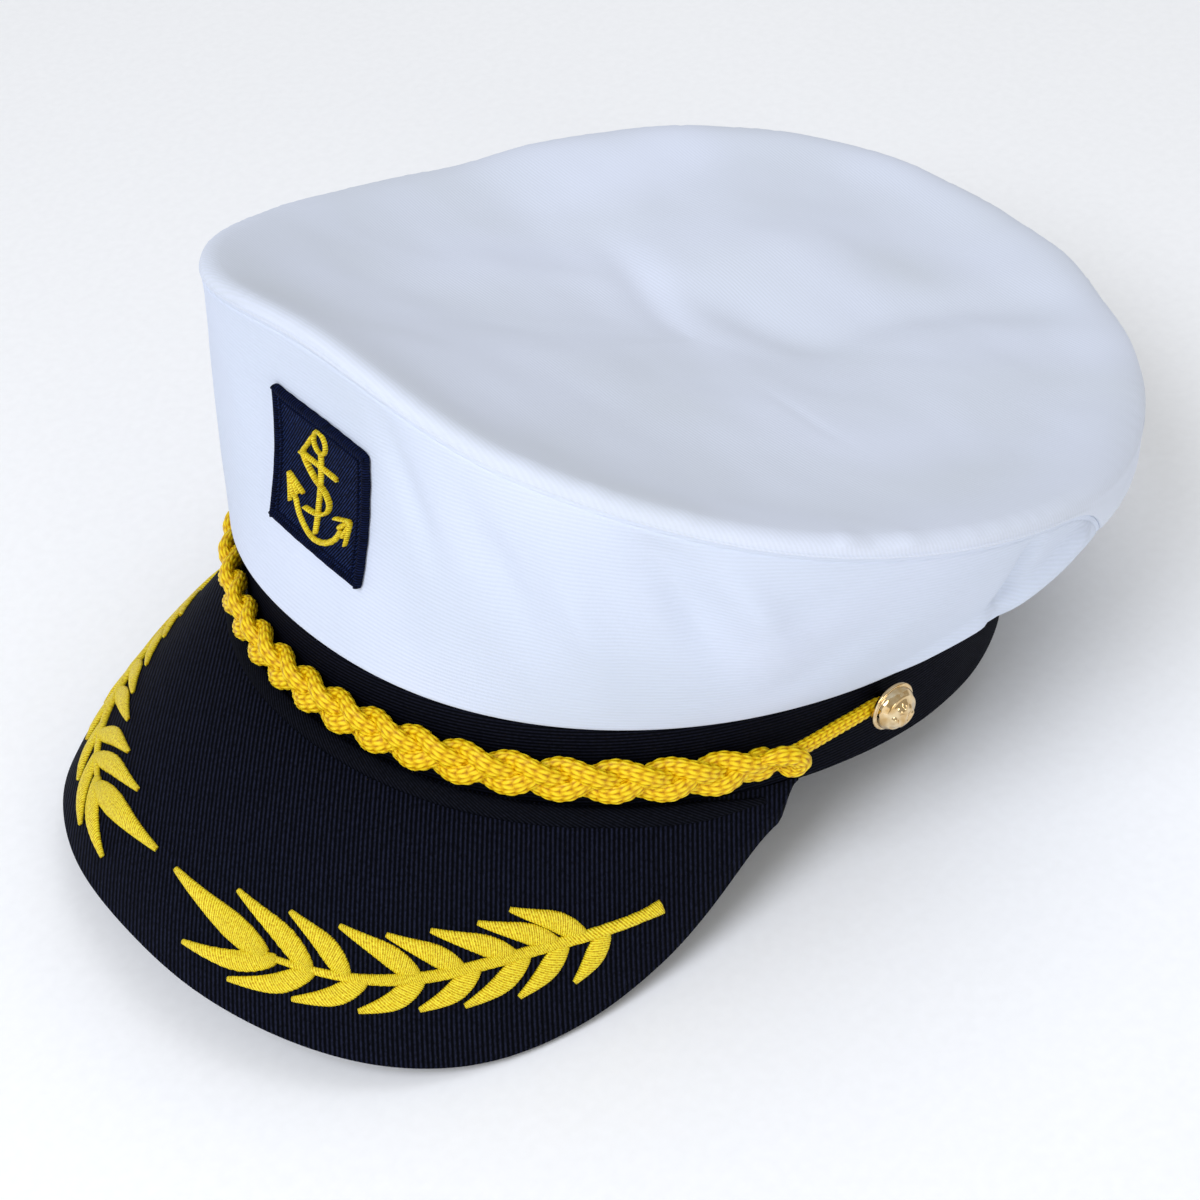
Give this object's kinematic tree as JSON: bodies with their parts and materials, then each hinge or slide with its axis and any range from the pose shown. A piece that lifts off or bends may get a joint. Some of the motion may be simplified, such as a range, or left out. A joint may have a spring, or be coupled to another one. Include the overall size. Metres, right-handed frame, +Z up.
{
  "type": "captain hat",
  "caption": "White cloth peaked cap with a raised front, black band and curved visor, gold plaited cord, side buttons, anchor patch and gold laurel branches.",
  "frame": {"origin": "centre of the bounding box, at the level of the surface that the hat rests on", "axes": "+Z up as the hat rests on a table, front of the hat towards -Y, wearer's left towards +X"},
  "size_m": [0.2132, 0.3006, 0.139],
  "materials": {
    "white_twill": "matte twill cloth",
    "black_rib": "ribbed black cloth",
    "gold_cord": "knitted shiny yarn",
    "gold_thread": "satin stitch embroidery",
    "gold_metal": "polished pale gold plate",
    "navy_felt": "dense stitched cloth"
  },
  "bodies": {
    "root": {"hat_band": "black_rib", "crown_side": "white_twill", "crown_top": "white_twill", "visor": "black_rib", "visor_binding": "black_rib", "braid_strand_a": "gold_cord", "braid_strand_b": "gold_cord", "braid_strand_c": "gold_cord", "braid_knot_left": "gold_cord", "braid_knot_right": "gold_cord", "side_cord_left": "gold_cord", "side_cord_right": "gold_cord", "button_left": "gold_metal", "button_right": "gold_metal", "anchor_patch": "navy_felt", "patch_border": "navy_felt", "anchor_badge": "gold_thread", "laurel_left": "gold_thread", "laurel_right": "gold_thread"}
  },
  "joints": []
}
